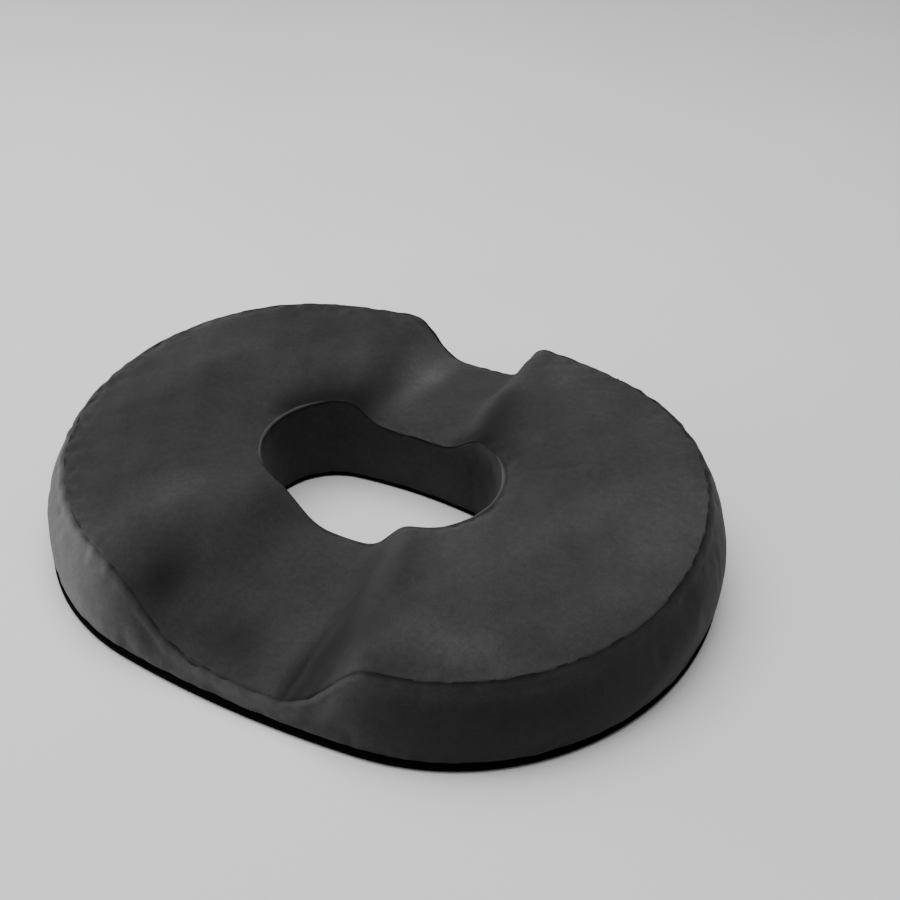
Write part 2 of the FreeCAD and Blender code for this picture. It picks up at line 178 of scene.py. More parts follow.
class Outline:
    """A closed outline that gives points and outward directions at distances along it."""

    def __init__(self, arcs):
        self.arcs = np.array(arcs)
        self.lengths = self.arcs[:, 2] * np.radians(self.arcs[:, 4] - self.arcs[:, 3])
        self.starts = np.concatenate([[0.0], np.cumsum(self.lengths)])
        self.length = self.starts[-1]

    def at(self, s, inset=0.0):
        """Points drawn in by inset, and the outline's outward direction there."""
        s = np.mod(s, self.length)
        which = np.clip(np.searchsorted(self.starts, s, side="right") - 1, 0, len(self.arcs) - 1)
        x, y, radius, start, _ = np.moveaxis(self.arcs[which], -1, 0)
        turn = np.radians(start) + (s - self.starts[which]) / radius
        out = np.stack([np.sin(turn), np.cos(turn)], axis=-1)
        centre = np.stack([x, y], axis=-1)
        return centre + out * (radius - inset)[..., None], out


def with_z(xy, z):
    """Points in plan with their heights added."""
    return np.concatenate([xy, np.asarray(z)[..., None]], axis=-1)


OUTER = Outline(oval_arcs())
HOLE = Outline(hole_arcs())
REAR_END = OUTER.starts[1]         # where the rear band ends, along the edge from the middle
HALF = OUTER.length / 2

# Places on the footprint's edge and on the hole that face each other
REAR_PAIR = (52.0, 50.0)           # distances from the middle of the rear, along the edge and the hole
FRONT_PAIR = (84.0, 46.0)          # distances from the middle of the front
SIDE_PAIR_DEG = 92.0               # the hole's two ends face the edge where it has turned this far
PAIR_STEPS = 721
PAIR_WINDOW = 31                   # steps over which the pairing is smoothed


def hole_place(s):
    """The place along the hole that faces the place s along the footprint's edge.

    Behind and in front the two run side by side, so that the channels' walls follow the mesh.
    """
    side_s = OUTER.starts[2] + OUTER.arcs[2, 2] * math.radians(SIDE_PAIR_DEG - REAR_CORNER_DEG)
    (rear_outer, rear_inner), (front_outer, front_inner) = REAR_PAIR, FRONT_PAIR
    outer = [0, rear_outer, side_s, HALF - front_outer, HALF, HALF + front_outer,
             2 * HALF - side_s, 2 * HALF - rear_outer, 2 * HALF]
    quarter, full = HOLE.length / 4, HOLE.length
    inner = [0, rear_inner, quarter, full / 2 - front_inner, full / 2, full / 2 + front_inner,
             full - quarter, full - rear_inner, full]
    places = np.linspace(0, OUTER.length, PAIR_STEPS)
    drift = np.interp(places, outer, inner) - places * full / OUTER.length
    kernel = np.hanning(PAIR_WINDOW + 2)[1:-1]
    padded = np.concatenate([drift[-PAIR_WINDOW - 1:-1], drift, drift[1:PAIR_WINDOW + 1]])
    smooth = np.convolve(padded, kernel / kernel.sum(), mode="same")[PAIR_WINDOW:-PAIR_WINDOW]
    s = np.mod(s, OUTER.length)
    return np.interp(s, places, smooth) + s * full / OUTER.length


# ---- top surface ---------------------------------------------------------------------------------

def channel_drop(x, y, shape):
    """How far a channel lowers the top. It starts at the middle of the hole and deepens outward."""
    near, far = shape["y"]
    inside = np.clip(y / near, 0, 1)
    outside = np.clip((y - near) / (far - near), 0, 1.2)
    depth = shape["depth"][0] + (shape["depth"][1] - shape["depth"][0]) * outside
    half = shape["half"][0] + (shape["half"][1] - shape["half"][0]) * outside
    half = np.where(x < 0, half * (1 + (shape["left_wider"] - 1) * outside), half)
    sharp = np.where(x < 0, *shape["sharp"])
    rise = inside * inside * (3 - 2 * inside)
    return depth * rise * 0.5 ** (np.abs(x / half) ** sharp)


def spot(x, y, at, reach):
    """Soft oval spot: 1 at its middle and 0 well outside its reach."""
    return np.exp(-(((x - at[0]) / reach[0]) ** 2) - ((y - at[1]) / reach[1]) ** 2)


def fade(x, middle, reach):
    """Smooth step from 0 below the middle to 1 above it."""
    return 1 / (1 + np.exp(-(x - middle) / reach))


def top_height(x, y):
    """Height of the cover's top surface."""
    ratio = (np.abs(2 * x / HOLE_WIDTH) ** 3 + np.abs(2 * y / HOLE_DEPTH) ** 3) ** (1 / 3)
    rim = RIM_DROP / (1 + (np.maximum(ratio - 1, 0) / RIM_REACH) ** 2)
    crown = CROWN * np.exp(-(((ratio - CROWN_AT) / CROWN_REACH) ** 2))
    drop = channel_drop(x, y, REAR_CHANNEL) + channel_drop(x, y, FRONT_CHANNEL)
    fold = FOLD * spot(x, y, FOLD_AT, FOLD_REACH)
    return SEAM_HEIGHT + WEDGE * y - rim + crown - drop - fold


def turn_of(out):
    """Which way the edge faces, in degrees: 0 behind, 90 right, 180 front and 270 left."""
    return np.degrees(np.arctan2(out[..., 0], out[..., 1])) % 360


def edge_roll(s):
    """How far the top rolls down to its seam: only at the right of the front."""
    turn = turn_of(OUTER.at(s)[1])
    start, end = EDGE_ROLL_TURNS
    return EDGE_ROLL * fade(turn, start, 5) * (1 - fade(turn, end, 2))


def seam_line(s):
    """The top seam: where the leaning wall meets the top surface, rolled down where it rolls."""
    z = np.full(np.shape(s), SEAM_HEIGHT)
    for _ in range(12):
        xy, _out = OUTER.at(s, SIDE_LEAN * z)
        z = 0.5 * z + 0.5 * (top_height(xy[..., 0], xy[..., 1]) - edge_roll(s))
    return xy, z


def rim_line(s):
    """The hole's rim: where the hole's wall meets the top surface, which rolls down to it."""
    z = np.full(np.shape(s), SEAM_HEIGHT)
    for _ in range(12):
        xy, _out = HOLE.at(hole_place(s), HOLE_LEAN * z)
        z = 0.5 * z + 0.5 * (top_height(xy[..., 0], xy[..., 1]) - RIM_ROLL)
    return xy, z


def bump_at(distance, place, reach):
    """1 at a place and 0 well outside its reach."""
    return np.exp(-(((distance - place) / reach) ** 2))


def top_points(s, v):
    """Top panel, from the hole's rim (v = 0) to the outer seam (v = 1)."""
    rim_xy, _z = rim_line(s)
    seam_xy, _z = seam_line(s)
    xy = rim_xy + (seam_xy - rim_xy) * v[..., None]
    length = np.linalg.norm(seam_xy - rim_xy, axis=-1)
    z = top_height(xy[..., 0], xy[..., 1])
    z = z - GROOVE * bump_at(length * (1 - v), 0, GROOVE_REACH)
    z = z - edge_roll(s) * bump_at(length * (1 - v), 0, EDGE_ROLL_REACH)
    z = z - RIM_ROLL * bump_at(length * v, 0, RIM_ROLL_REACH)
    return with_z(xy, z)


def by_zip(s, z):
    """1 round the zip, where the tapes hold the cloth flat, and 0 away from it."""
    from_middle = np.abs(np.mod(s + HALF, OUTER.length) - HALF)
    return fade(REAR_END + CALM_PAST_ZIP - from_middle, 0, 4) * fade(CALM_HEIGHT - z, 0, 3)


def wall_inset(s, z, seam_z):
    """How far the outer wall stands in from the footprint's edge: it leans, swells and tucks in below."""
    height = np.clip((z - BASE_Z) / (seam_z - BASE_Z), 0, 1)
    below = seam_z - z
    tall = np.clip((seam_z - BASE_Z) / BULGE_HEIGHT, 0, 1)
    bulge = SIDE_BULGE * np.sin(np.pi * height**BULGE_SKEW) * tall**2
    bulge = bulge * (1 - 0.9 * by_zip(s, z))
    bulge = bulge + RIDGE * bump_at(below, RIDGE_AT, RIDGE_REACH) - GROOVE * bump_at(below, 0, 1.0)
    _xy, out = OUTER.at(s)
    tuck = SIDE_TUCK * np.abs(out[..., 0]) ** 3 * (1 - height) ** 2
    return SIDE_LEAN * z - bulge + tuck


def side_points(s, v):
    """Outer wall, from the top seam (v = 0) down to the base's binding (v = 1)."""
    _xy, seam_z = seam_line(s)
    z = seam_z + (BAND_LOW - seam_z) * v
    xy, _out = OUTER.at(s, wall_inset(s, z, seam_z))
    return with_z(xy, z)


def hole_points(s, v):
    """Wall of the hole, from the base's binding (v = 0) up to the rim (v = 1)."""
    _xy, rim_z = rim_line(s)
    z = HOLE_WALL_LOW + (rim_z - HOLE_WALL_LOW) * v
    swell = HOLE_SWELL * np.sin(np.pi * v) - HOLE_GROOVE * bump_at(rim_z - z, 0, HOLE_GROOVE_REACH)
    xy, _out = HOLE.at(hole_place(s), HOLE_LEAN * z + swell)
    return with_z(xy, z)


def base_points(s, v):
    """Underside, from the outer edge (v = 0) to the hole (v = 1)."""
    outer_xy, _out = OUTER.at(s, BASE_INSET + wall_inset(s, BASE_Z, seam_line(s)[1]))
    hole_xy, _out = HOLE.at(hole_place(s), -BASE_INSET)
    xy = outer_xy + (hole_xy - outer_xy) * v[..., None]
    return with_z(xy, np.full(xy.shape[:-1], BASE_Z))


# ---- cloth simulation ----------------------------------------------------------------------------

SIM_COLUMNS = 240
SIM_ROWS = {"hole": 8, "top": 28, "side": 11, "base": 10}
SIM_FRAMES = 20
SIM_CAP = 2.6
SIM_SHARE = 0.5            # the part of the movement that is kept
RIM_CALM = 0.8             # share of the top's movement that is taken away at the hole's rim
RIM_CALM_REACH = 0.3       # as a fraction of the way to the top seam
HOLE_KEPT = 0.4            # share of the hole wall's movement that is kept
CLOTH_SETTINGS = {
    "quality": 6,
    "mass": 0.3,
    "tension_stiffness": 12,
    "compression_stiffness": 12,
    "shear_stiffness": 6,
    "bending_stiffness": 0.6,
    "shrink_min": -0.015,
    "use_pressure": True,
    "uniform_pressure_force": 4.0,
    "vertex_group_mass": "seams",
}


def grid(s, rows):
    """Column places and row fractions as two arrays of one shape."""
    return np.meshgrid(s, rows, indexing="ij")


def sim_panels():
    """The closed cover in a coarse grid: each panel's points, in order round the section."""
    s = np.linspace(0, OUTER.length, SIM_COLUMNS, endpoint=False)
    shapes = {"hole": hole_points, "top": top_points, "side": side_points, "base": base_points}
    return {name: shape(*grid(s, np.linspace(0, 1, SIM_ROWS[name] + 1))) for name, shape in shapes.items()}


def new_object(name, verts_mm, faces):
    """Mesh object in the scene, from points in millimetres."""
    mesh = bpy.data.meshes.new(name)
    mesh.from_pydata((np.asarray(verts_mm) * MM).tolist(), [], faces)
    mesh.validate()
    mesh.update()
    piece = bpy.data.objects.new(name, mesh)
    bpy.context.scene.collection.objects.link(piece)
    return piece


def grid_faces(columns, rows, closed, looped=False):
    """Quads of a grid with rows points in each column. A closed grid joins its last column to its first,
    and a looped one also joins each column's last point to its first."""
    faces = []
    for i in range(columns if closed else columns - 1):
        a, b = i * rows, (i + 1) % columns * rows
        for j in range(rows if looped else rows - 1):
            k = (j + 1) % rows
            faces.append((a + j, b + j, b + k, a + k))
    return faces


def inflating_body(points, held_rows):
    """The cover as one closed mesh with cloth physics, held along some of its rows."""
    columns, rows = points.shape[:2]
    body = new_object("inflating_cover", points.reshape(-1, 3), grid_faces(columns, rows, True, True))
    pins = body.vertex_groups.new(name="seams")
    pins.add([int(i * rows + j) for i in range(columns) for j in held_rows], 1.0, "REPLACE")
    cloth = body.modifiers.new("cloth", "CLOTH")
    for name, value in CLOTH_SETTINGS.items():
        setattr(cloth.settings, name, value)
    cloth.settings.effector_weights.gravity = 0.0
    return body


def settled_points(body):
    """Run the simulation, and return where the body's points end up, in millimetres."""
    scene = bpy.context.scene
    for number in range(1, SIM_FRAMES + 1):
        scene.frame_set(number)
        settled = body.evaluated_get(bpy.context.evaluated_depsgraph_get())
    places = np.empty(len(body.data.vertices) * 3)
    settled.data.vertices.foreach_get("co", places)
    scene.frame_set(1)
    return places / MM


def inflate():
    """Blow the cover up a little between its seams, and return each panel's movement in millimetres.

    The hole's lower edge, the rim, the top seam and the whole base are held still.
    """
    panels = sim_panels()
    points = np.concatenate([panels[name][:, :-1] for name in SIM_ROWS], axis=1)
    first = np.cumsum([0] + list(SIM_ROWS.values()))
    held_rows = [0, first[1], first[2]] + list(range(first[3], points.shape[1]))
    body = inflating_body(points, held_rows)
    move = settled_points(body).reshape(points.shape) - points
    bpy.data.objects.remove(body, do_unlink=True)
    length = np.linalg.norm(move, axis=-1, keepdims=True)
    move = move * (SIM_SHARE * SIM_CAP * np.tanh(length / SIM_CAP) / np.maximum(length, 1e-6))
    print("cloth moved up to", round(float(length.max()), 2), "mm, mean", round(float(length.mean()), 2))
    round_trip = np.concatenate([move, move[:, :1]], axis=1)
    return {name: round_trip[:, first[k]:first[k + 1] + 1] for k, name in enumerate(SIM_ROWS)}


MOVES = inflate()


def moved(points, panel, s, v):
    """Add the simulated movement of a panel at places s and fractions v."""
    field = MOVES[panel]
    columns, rows = field.shape[0], field.shape[1] - 1
    i, j = np.mod(s / OUTER.length, 1) * columns, np.clip(v, 0, 1) * rows
    i_0, j_0 = np.floor(i).astype(int) % columns, np.minimum(np.floor(j).astype(int), rows - 1)
    i_1, j_1 = (i_0 + 1) % columns, j_0 + 1
    f, g = (i - np.floor(i))[..., None], (j - j_0)[..., None]
    near = field[i_0, j_0] * (1 - g) + field[i_0, j_1] * g
    far = field[i_1, j_0] * (1 - g) + field[i_1, j_1] * g
    move = near * (1 - f) + far * f
    if panel == "side":
        move = move * (1 - by_zip(s, points[..., 2]))[..., None]
    if panel == "top":
        move = move * (1 - RIM_CALM * bump_at(v, 0, RIM_CALM_REACH))[..., None]
    if panel == "hole":
        move = move * HOLE_KEPT
    return points + move


# ---- soft detail ---------------------------------------------------------------------------------

WAVE_COUNT = 14
DENTS = ((0.45, 70), (0.16, 24))    # depth and wavelength of the coarse and the fine dents
DENT_FREE = 12.0           # dents fade out this close to a seam
PUCKER_WAVE = 11
PUCKER_START = 1.2         # the seam itself stays straight


def waves(points, wavelength, seed):
    """Smooth random field of about unit size, from sine waves in random directions."""
    rng = np.random.default_rng(seed)
    total = np.zeros(points.shape[:-1])
    for _ in range(WAVE_COUNT):
        direction = rng.normal(size=3)
        direction /= np.linalg.norm(direction)
        length = wavelength * rng.uniform(0.7, 1.5)
        total += np.sin(points @ direction * 2 * np.pi / length + rng.uniform(0, 2 * np.pi))
    return total / math.sqrt(WAVE_COUNT / 2)


def grid_normals(points):
    """Outward normals of a grid of points."""
    along = np.gradient(points, axis=0)
    across = np.gradient(points, axis=1)
    normal = np.cross(along, across)
    return normal / np.maximum(np.linalg.norm(normal, axis=-1, keepdims=True), 1e-9)


def soften(points, edge_distance, seed):
    """Give cloth its faint dents, and its puckers beside a seam."""
    normal = grid_normals(points)
    dents = sum(depth * waves(points, length, seed + k) for k, (depth, length) in enumerate(DENTS))
    away = 1 - np.exp(-edge_distance / DENT_FREE)
    pucker = PUCKER * waves(points, PUCKER_WAVE, seed + 2) * np.exp(-edge_distance / PUCKER_REACH)
    pucker = pucker * (1 - np.exp(-edge_distance / PUCKER_START))
    return points + normal * (dents * away + pucker)[..., None]


def set_painted_shading(piece, values):
    """Store the painted light and shade at each point, 1 being unchanged."""
    painted_shading = np.broadcast_to(values, (len(piece.data.vertices),)).astype(np.float32)
    piece.data.attributes.new("painted_shading", "FLOAT", "POINT").data.foreach_set("value", painted_shading)


def sheet_object(name, points, closed, thick=SHEET, painted_shading=1.0):
    """Closed cloth sheet: the outer face as a grid, and an inner face a thickness further in."""
    columns, rows = points.shape[:2]
    inner = points - grid_normals(points) * thick
    count = columns * rows
    outside = grid_faces(columns, rows, closed)
    inside = [tuple(i + count for i in reversed(face)) for face in outside]
    edges = []
    for i in range(columns if closed else columns - 1):
        a, b = i * rows, (i + 1) % columns * rows
        edges.append((b, a, a + count, b + count))
        edges.append((a + rows - 1, b + rows - 1, b + rows - 1 + count, a + rows - 1 + count))
    if not closed:
        last = (columns - 1) * rows
        edges += [(j, j + 1, j + 1 + count, j + count) for j in range(rows - 1)]
        edges += [(last + j + 1, last + j, last + j + count, last + j + 1 + count) for j in range(rows - 1)]
    verts = np.concatenate([points.reshape(-1, 3), inner.reshape(-1, 3)])
    piece = new_object(name, verts, outside + inside + edges)
    piece.data.shade_smooth()
    # painted light and shade, the same on both faces of the sheet
    set_painted_shading(piece, np.tile(np.broadcast_to(painted_shading, (columns, rows)).ravel(), 2))
    return piece


# Painted light and shade on the top, set for the view from the front. In the table, each painted patch
# of light or shade has its middle, its reach, and how much paler it is painted (below 0, darker).
TOP_PAINTED_SHADING = (
    ((52, 60), (17, 18), -0.65),       # wall of the rear channel, right, at the hole
    ((45, 112), (12, 44), -0.35),
    ((-30, 128), (11, 40), 2.0),       # wall of the rear channel, left
    ((-70, -138), (16, 30), -0.42),    # wall of the front channel, left
    ((-64, -143), (9, 16), -0.22),
    ((-46, -66), (14, 24), -0.25),     # the same wall, at the hole
    ((60, -98), (17, 40), -0.32),      # wall of the front channel, right
    ((66, -134), (9, 18), -0.35),
    ((92, -152), (22, 12), -0.2),
    ((52, 86), (12, 14), -0.35),       # shoulder of the rear channel, right
    ((73, 40), (14, 14), -0.35),       # beside the hole, right
    ((106, 30), (32, 34), -0.28),
    ((190, 0), (26, 60), 0.4),         # along the edge, right
    ((136, -122), (44, 12), 0.45),     # along the edge, front right
    ((-134, -102), (30, 22), -0.22),   # along the edge, front left
    ((0, -160), (36, 18), -0.2),       # floor of the front channel, at the edge
    ((-12, -148), (18, 22), -0.4),
    ((-110, 110), (70, 50), -0.42),    # behind, left
    ((-172, -45), (62, 85), -0.36),    # left
)
FOOT_SHADE = 0.75          # painted shade beside the crease in the front channel
FOOT_X = ((31, 1.2), (62, 5))       # where it starts and ends, each with how softly
FOOT_Y = (120, 8)
WALL_SHADE = 0.6           # painted shade on that channel's right wall, along a slanting line
WALL_AT = (42, -80)
WALL_SLANT = 0.13
WALL_REACH = 10
WALL_Y = (62, 6)
RIM_SHADE = 0.75           # painted shade where the top rolls into the hole behind
RIM_SHADE_REACH = (20.0, 10.0)      # on the left and on the right
RIM_SHADE_LEFT = ((-98, 4), (-36, 3))
RIM_SHADE_RIGHT = ((30, 3), (64, 4))
RIM_SHADE_Y = (12, 4)
SEAM_SHADE = 0.75          # painted shade in the crease at the top seam
SEAM_SHADE_REACH = 1.1
RIDGE_PAINTED_HIGHLIGHT = 0.45           # painted highlight on the ridge below the seam, from the right to the front
RIDGE_HIGHLIGHT_TURNS = ((120, 8), (182, 3))
RIDGE_HIGHLIGHT_AT = (5, 4.0)    # below the seam, and how far it reaches
# painted shade on the hole's wall
HOLE_PAINTED_SHADE = 0.75
# painted shade on the bead in the top seam's crease
TOP_BEAD_PAINTED_SHADE = 0.12
# the upright seams' folds are painted darker than the band
BAND_SEAM_DARKENING = 0.7

# Painted light and shade on the bands, by the direction in which the edge faces: paler where it faces the
# light on the left, darker on the right
BAND_PAINTED_SHADING_TURNS = (0, 60, 100, 150, 170, 180, 185, 190, 200, 212, 225, 250, 270, 300, 360)
BAND_PAINTED_SHADING = (0.9, 0.75, 0.6, 0.5, 0.6, 1.1, 1.0, 1.3, 1.9, 2.0, 1.6, 1.05, 0.95, 0.95, 0.9)


def window(x, start, end):
    """1 between start and end, which are each a place and how softly it fades there."""
    return fade(x, *start) * (1 - fade(x, *end))


def top_painted_shading(points, rim_distance, seam_distance):
    """Painted light and shade on the top: above 1 paler, below 1 darker."""
    x, y = points[..., 0], points[..., 1]
    painted_shading = 1 + sum(change * spot(x, y, at, reach) for at, reach, change in TOP_PAINTED_SHADING)
    foot = window(x, *FOOT_X) * fade(-y, *FOOT_Y)
    wall = bump_at(x, WALL_AT[0] - WALL_SLANT * (y - WALL_AT[1]), WALL_REACH) * fade(-y, *WALL_Y)
    painted_shading = painted_shading * (1 - FOOT_SHADE * foot) * (1 - WALL_SHADE * wall)
    left = window(x, *RIM_SHADE_LEFT) * bump_at(rim_distance, 0, RIM_SHADE_REACH[0])
    right = window(x, *RIM_SHADE_RIGHT) * bump_at(rim_distance, 0, RIM_SHADE_REACH[1])
    painted_shading = painted_shading * (1 - RIM_SHADE * (left + right) * fade(y, *RIM_SHADE_Y))
    return np.maximum(painted_shading, 0.1) * (1 - SEAM_SHADE * bump_at(seam_distance, 0, SEAM_SHADE_REACH))


def band_painted_shading(s, z):
    """Painted light and shade on the band: paler on the left, where the light falls, darker on the right,
    with a painted highlight on the ridge and painted shade in the crease below the seam.
    """
    turn = turn_of(OUTER.at(s)[1])
    below = seam_line(s)[1] - z
    ridge = RIDGE_PAINTED_HIGHLIGHT * window(turn, *RIDGE_HIGHLIGHT_TURNS) * bump_at(below, *RIDGE_HIGHLIGHT_AT)
    crease = SEAM_SHADE * bump_at(below, 0, SEAM_SHADE_REACH)
    return np.interp(turn, BAND_PAINTED_SHADING_TURNS, BAND_PAINTED_SHADING) * (1 + ridge) * (1 - crease)


END_CROWDING = 1.6


def close_to_ends(count):
    """Fractions from 0 to 1 that crowd toward both ends."""
    t = np.linspace(-1, 1, count)
    bent = np.sign(t) * (1 - (1 - np.abs(t)) ** END_CROWDING)
    return (bent + 1) / 2


# ---- materials -----------------------------------------------------------------------------------

def material(name, base, roughness):
    """New material and its principled shader, with flat values that other functions build on."""
    made = bpy.data.materials.new(name)
    made.use_nodes = True
    shader = made.node_tree.nodes["Principled BSDF"]
    shader.inputs["Base Color"].default_value = (*base, 1)
    shader.inputs["Roughness"].default_value = roughness
    return made, made.node_tree.nodes, made.node_tree.links, shader


def noise_node(nodes, links, place, scale, detail=3.0, rough=0.5):
    """Noise that gets finer as scale rises."""
    noise = nodes.new("ShaderNodeTexNoise")
    noise.inputs["Scale"].default_value = scale
    noise.inputs["Detail"].default_value = detail
    noise.inputs["Roughness"].default_value = rough
    links.new(place, noise.inputs["Vector"])
    return noise.outputs["Fac"]


def ramp_node(nodes, links, factor, low, high, dark, light):
    """Colour that goes from dark to light as factor goes from low to high."""
    ramp = nodes.new("ShaderNodeValToRGB")
    ramp.color_ramp.elements[0].position = low
    ramp.color_ramp.elements[1].position = high
    ramp.color_ramp.elements[0].color = (*dark, 1)
    ramp.color_ramp.elements[1].color = (*light, 1)
    links.new(factor, ramp.inputs["Fac"])
    return ramp.outputs["Color"]


def multiply_node(nodes, links, first, second):
    """One colour multiplied by another."""
    mix = nodes.new("ShaderNodeMix")
    mix.data_type = "RGBA"
    mix.blend_type = "MULTIPLY"
    mix.inputs[0].default_value = 1.0
    links.new(first, mix.inputs[6])
    links.new(second, mix.inputs[7])
    return mix.outputs[2]


def bump_node(nodes, links, height, distance, strength, before=None):
    """Fine relief in the shading, added to any relief before it."""
    bump = nodes.new("ShaderNodeBump")
    bump.inputs["Distance"].default_value = distance
    bump.inputs["Strength"].default_value = strength
    links.new(height, bump.inputs["Height"])
    if before:
        links.new(before, bump.inputs["Normal"])
    return bump.outputs["Normal"]


def velour():
    """Short-pile velour: soft patches where the pile lies differently, fine pile, a pale sheen, and each
    mesh's painted light and shade.
    """
    made, nodes, links, shader = material("velour", (0.036,) * 3, 0.92)
    place = nodes.new("ShaderNodeTexCoord").outputs["Object"]
    patches = noise_node(nodes, links, place, 22, 4, 0.55)
    clumps = noise_node(nodes, links, place, 260, 3, 0.6)
    pile = noise_node(nodes, links, place, 1900, 2, 0.7)
    colour = ramp_node(nodes, links, patches, 0.32, 0.68, (0.031,) * 3, (0.041,) * 3)
    flecks = ramp_node(nodes, links, pile, 0.3, 0.75, (0.72,) * 3, (1.25,) * 3)
    tufts = ramp_node(nodes, links, clumps, 0.3, 0.7, (0.88,) * 3, (1.10,) * 3)
    colour = multiply_node(nodes, links, colour, flecks)
    colour = multiply_node(nodes, links, colour, tufts)
    # the mesh's painted light and shade multiplies the colour: paler where light falls, darker in shade
    painted_shading = nodes.new("ShaderNodeAttribute")
    painted_shading.attribute_name = "painted_shading"
    colour = multiply_node(nodes, links, colour, painted_shading.outputs["Color"])
    links.new(colour, shader.inputs["Base Color"])
    shader.inputs["Specular IOR Level"].default_value = 0.15
    shader.inputs["Sheen Weight"].default_value = 0.12
    shader.inputs["Sheen Roughness"].default_value = 0.45
    shader.inputs["Sheen Tint"].default_value = (0.75, 0.75, 0.75, 1)
    soft = bump_node(nodes, links, clumps, 0.0006, 0.35)
    normal = bump_node(nodes, links, pile, 0.0003, 0.6, soft)
    links.new(normal, shader.inputs["Normal"])
    return made


def woven(name, dark, light, pitch, roughness=0.85, gloss=0.2):
    """Plain weave in two tones with threads a pitch apart, in metres."""
    made, nodes, links, shader = material(name, light, roughness)
    place = nodes.new("ShaderNodeTexCoord").outputs["Object"]
    threads = []
    for axis in ("X", "Y"):
        wave = nodes.new("ShaderNodeTexWave")
        wave.bands_direction = axis
        wave.inputs["Scale"].default_value = 0.314 / pitch
        wave.inputs["Distortion"].default_value = 0.4
        links.new(place, wave.inputs["Vector"])
        threads.append(wave.outputs["Color"])
    weave = multiply_node(nodes, links, threads[0], threads[1])
    colour = ramp_node(nodes, links, weave, 0.1, 0.7, dark, light)
    dust = ramp_node(nodes, links, noise_node(nodes, links, place, 60, 4), 0.3, 0.8, (0.8,) * 3, (1.2,) * 3)
    links.new(multiply_node(nodes, links, colour, dust), shader.inputs["Base Color"])
    links.new(bump_node(nodes, links, weave, 0.0003, 0.7), shader.inputs["Normal"])
    shader.inputs["Specular IOR Level"].default_value = gloss
    return made


def foam_skin():
    """Moulded memory foam: cream, with fine cells."""
    made, nodes, links, shader = material("foam", (0.78, 0.74, 0.62), 0.9)
    place = nodes.new("ShaderNodeTexCoord").outputs["Object"]
    cells = nodes.new("ShaderNodeTexVoronoi")
    cells.inputs["Scale"].default_value = 900
    links.new(place, cells.inputs["Vector"])
    dark, light = (0.62, 0.57, 0.44), (0.82, 0.78, 0.66)
    colour = ramp_node(nodes, links, cells.outputs["Distance"], 0.1, 0.6, dark, light)
    links.new(colour, shader.inputs["Base Color"])
    links.new(bump_node(nodes, links, cells.outputs["Distance"], 0.0004, 0.5), shader.inputs["Normal"])
    return made


def moulded(name, base, roughness):
    """Rubber or plastic with a faint grain."""
    made, nodes, links, shader = material(name, base, roughness)
    place = nodes.new("ShaderNodeTexCoord").outputs["Object"]
    grain = noise_node(nodes, links, place, 700, 3)
    colour = ramp_node(nodes, links, grain, 0.3, 0.7, [c * 0.8 for c in base], [c * 1.3 for c in base])
    links.new(colour, shader.inputs["Base Color"])
    links.new(bump_node(nodes, links, grain, 0.0001, 0.4), shader.inputs["Normal"])
    return made


def enamelled_metal():
    """Black enamel on the zip's slider and pull, rubbed through to bare metal in specks."""
    made, nodes, links, shader = material("zip_metal", (0.02, 0.02, 0.022), 0.38)
    place = nodes.new("ShaderNodeTexCoord").outputs["Object"]
    wear = noise_node(nodes, links, place, 420, 5, 0.7)
    links.new(ramp_node(nodes, links, wear, 0.62, 0.7, (0.02, 0.02, 0.022), (0.35, 0.34, 0.33)),
              shader.inputs["Base Color"])
    rough = ramp_node(nodes, links, wear, 0.4, 0.7, (0.32,) * 3, (0.5,) * 3)
    links.new(rough, shader.inputs["Roughness"])
    shader.inputs["Metallic"].default_value = 0.7
    links.new(bump_node(nodes, links, wear, 0.0001, 0.3), shader.inputs["Normal"])
    return made


VELOUR = velour()
THREAD = woven("thread", (0.015, 0.015, 0.015), (0.05, 0.05, 0.05), 0.0006)
BASE_CLOTH = woven("base_cloth", (0.004, 0.004, 0.004), (0.016, 0.016, 0.017), 0.0012)
# near-black, darker than the base cloth: a real black binding whose tone is also painted contact shadow
# under the edge
BINDING = woven("binding", (0.0006,) * 3, (0.0022,) * 3, 0.0012, 0.95, 0.02)
ZIP_TAPE = woven("zip_tape", (0.008, 0.008, 0.009), (0.028, 0.028, 0.03), 0.0007)


def finish_piece(piece, made, slot, *nodes, body="cushion"):
    """Give a piece its material and its body, and hide the CAD nodes that it stands for."""
    piece.data.materials.clear()
    piece.data.materials.append(made)
    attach(piece, body)
    if nodes:
        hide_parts(*nodes)


# ---- cover ---------------------------------------------------------------------------------------

COLUMNS = 520
REAR_SHARE = 0.21          # share of the columns that the rear band takes
TOP_ROWS = 64
SIDE_ROWS = 34
STRIP_ROWS = 26
HOLE_ROWS = 24
BASE_ROWS = 20
FOAM_COLUMNS = 180
FOAM_INSET = 4.0
FOAM_ZIP_INSET = 3.5       # and this much more behind the zip
TAB_ENDS = (8.5, 0.4)      # a tab's ends, inward of the upright seam
TAB_LAP = 0.6              # a tab reaches this far behind the strips
TAB_BEHIND = 0.5


def ring_places():
    """All round the cushion."""
    return np.linspace(0, OUTER.length, COLUMNS, endpoint=False)


def side_places():
    """Round the front and sides, from one rear seam to the other."""
    return np.linspace(REAR_END, OUTER.length - REAR_END, int(COLUMNS * (1 - REAR_SHARE)))


def rear_places():
    """Along the rear, between the two upright seams."""
    return np.linspace(-REAR_END, REAR_END, int(COLUMNS * REAR_SHARE))


